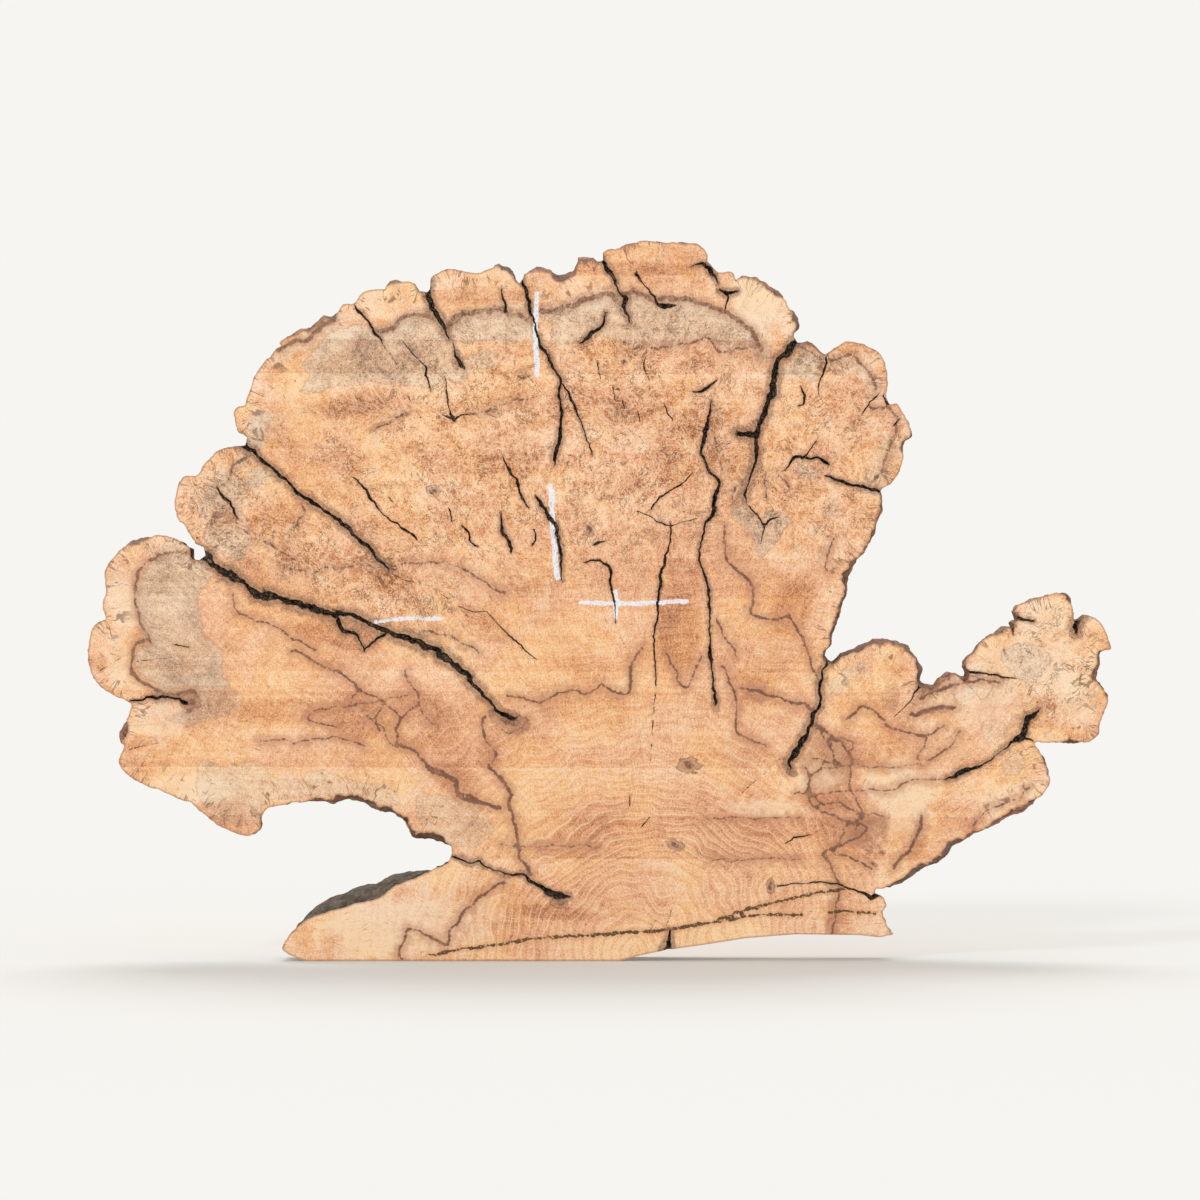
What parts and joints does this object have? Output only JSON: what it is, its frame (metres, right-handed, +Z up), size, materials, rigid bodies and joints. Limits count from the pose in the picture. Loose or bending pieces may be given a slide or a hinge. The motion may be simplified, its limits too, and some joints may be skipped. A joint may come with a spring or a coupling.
{
  "type": "oak burl slab",
  "caption": "Thick live-edge slab sawn from a fan-shaped oak burl, with lobed bark edges, bark pockets and a sawn foot that it stands on.",
  "frame": {"origin": "middle of the footprint, on the surface that the sawn foot stands on", "axes": "+X across the slab's width, to the right seen from the front; +Y through its thickness, from the front sawn face to the back; +Z up, from the foot to the crown"},
  "size_m": [1.27, 0.0762, 0.895],
  "materials": {
    "oak_burl": "rough sawn, unsealed, with dark bark on the live edge"
  },
  "bodies": {
    "root": {"burl_slab": "oak_burl"}
  },
  "joints": []
}
